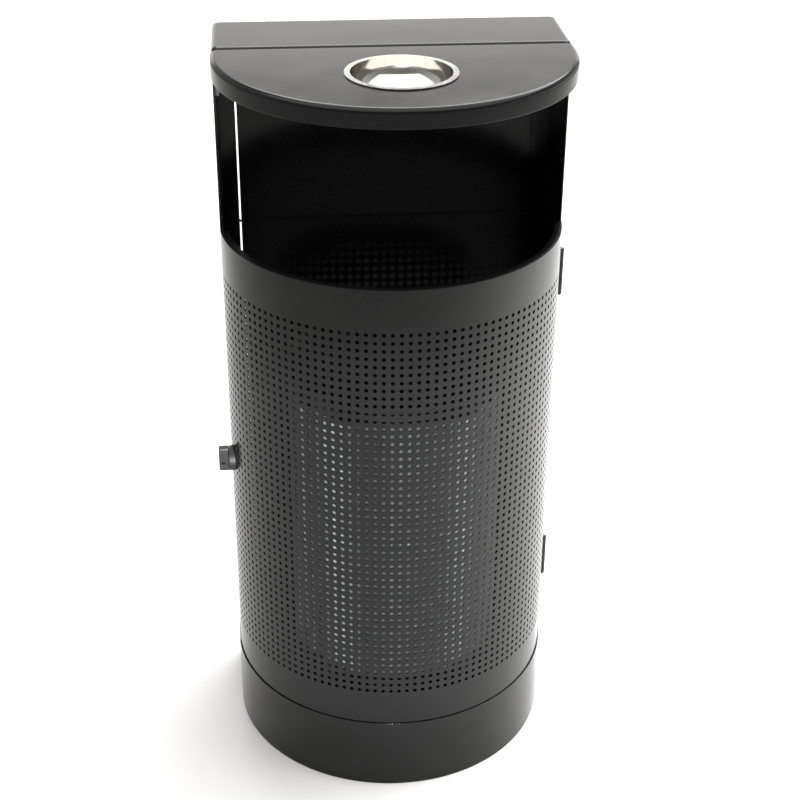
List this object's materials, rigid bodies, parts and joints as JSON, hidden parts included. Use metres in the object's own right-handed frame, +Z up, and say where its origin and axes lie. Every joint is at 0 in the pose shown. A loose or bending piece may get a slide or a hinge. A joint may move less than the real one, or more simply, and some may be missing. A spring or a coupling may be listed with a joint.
{
  "type": "litter bin",
  "caption": "Half-round steel litter bin with a perforated hinged door, lift-out round liner, hooded front mouth and an ash bowl in the lid.",
  "frame": {"origin": "on the ground, midway across the width, in the plane of the seam between the lid and the rear cap", "axes": "+Z up, -Y towards the person using the bin (the door side), +X to the hinge side of the door"},
  "size_m": [0.4291, 0.335, 0.9255],
  "materials": {
    "charcoal_powder_coat": "semi-gloss powder coat",
    "polished_stainless": "polished spun stainless steel",
    "galvanised_steel": "bright galvanised",
    "zinc_plated_steel": "zinc plated",
    "black_nylon": "moulded black nylon",
    "black_rubber_band": "matt black"
  },
  "bodies": {
    "root": {"plinth_ring": "charcoal_powder_coat", "base_plate": "charcoal_powder_coat", "side_wall_left": "charcoal_powder_coat", "side_wall_right": "charcoal_powder_coat", "back_panel": "charcoal_powder_coat", "back_strap_1": "charcoal_powder_coat", "back_strap_2": "charcoal_powder_coat", "back_strap_3": "charcoal_powder_coat", "back_strap_4": "charcoal_powder_coat", "lid": "charcoal_powder_coat", "rear_cap": "charcoal_powder_coat", "seam_spacer_bar": "zinc_plated_steel", "seam_bolt_1": "zinc_plated_steel", "seam_bolt_2": "zinc_plated_steel", "seam_bolt_3": "zinc_plated_steel", "seam_bolt_4": "zinc_plated_steel", "seam_nut_1": "zinc_plated_steel", "seam_nut_2": "zinc_plated_steel", "seam_nut_3": "zinc_plated_steel", "seam_nut_4": "zinc_plated_steel", "cap_bracket_left": "zinc_plated_steel", "cap_bracket_right": "zinc_plated_steel", "cap_bracket_bolt_left_1": "zinc_plated_steel", "cap_bracket_bolt_left_2": "zinc_plated_steel", "cap_bracket_bolt_right_1": "zinc_plated_steel", "cap_bracket_bolt_right_2": "zinc_plated_steel", "liner_shelf": "charcoal_powder_coat", "liner_locating_ring": "charcoal_powder_coat", "shelf_angle_left": "zinc_plated_steel", "shelf_angle_right": "zinc_plated_steel", "upper_hinge_frame_leaf": "zinc_plated_steel", "upper_hinge_pin": "zinc_plated_steel", "lower_hinge_frame_leaf": "zinc_plated_steel", "lower_hinge_pin": "zinc_plated_steel", "striker_stud": "zinc_plated_steel"},
    "door": {"door_skin": "charcoal_powder_coat", "door_top_rim": "charcoal_powder_coat", "door_bottom_rim": "charcoal_powder_coat", "hinge_stile": "charcoal_powder_coat", "latch_stile": "charcoal_powder_coat", "upper_hinge_door_leaf": "zinc_plated_steel", "lower_hinge_door_leaf": "zinc_plated_steel", "latch_escutcheon": "black_nylon"},
    "latch": {"latch_knob": "black_nylon", "latch_hook": "zinc_plated_steel", "latch_nut": "zinc_plated_steel"},
    "ash_bowl": {"ash_bowl": "polished_stainless"},
    "liner": {"liner_drum": "galvanised_steel", "liner_rim_band": "black_rubber_band", "liner_ear_left": "galvanised_steel", "liner_ear_right": "galvanised_steel"},
    "bail": {"bail_handle": "zinc_plated_steel"}
  },
  "joints": [
    {"name": "door_hinge", "type": "hinge", "parent": "root", "child": "door", "pos_m": [0.2054, 0, 0.43], "axis": [0, 0, 1], "range_deg": [0, 110]},
    {"name": "latch_turn", "type": "hinge", "parent": "door", "child": "latch", "pos_m": [-0.2, -0.016, 0.403], "axis": [1, 0, 0], "range_deg": [-90, 0]},
    {"name": "ash_bowl_lift", "type": "slide", "parent": "root", "child": "ash_bowl", "axis": [0, 0, 1], "range_m": [0, 0.045]},
    {"name": "liner_lift", "type": "slide", "parent": "root", "child": "liner", "axis": [0, 0, 1], "range_m": [0, 0.02]},
    {"name": "bail_swing", "type": "hinge", "parent": "liner", "child": "bail", "pos_m": [0, -0.045, 0.534], "axis": [1, 0, 0], "range_deg": [0, 90]}
  ]
}
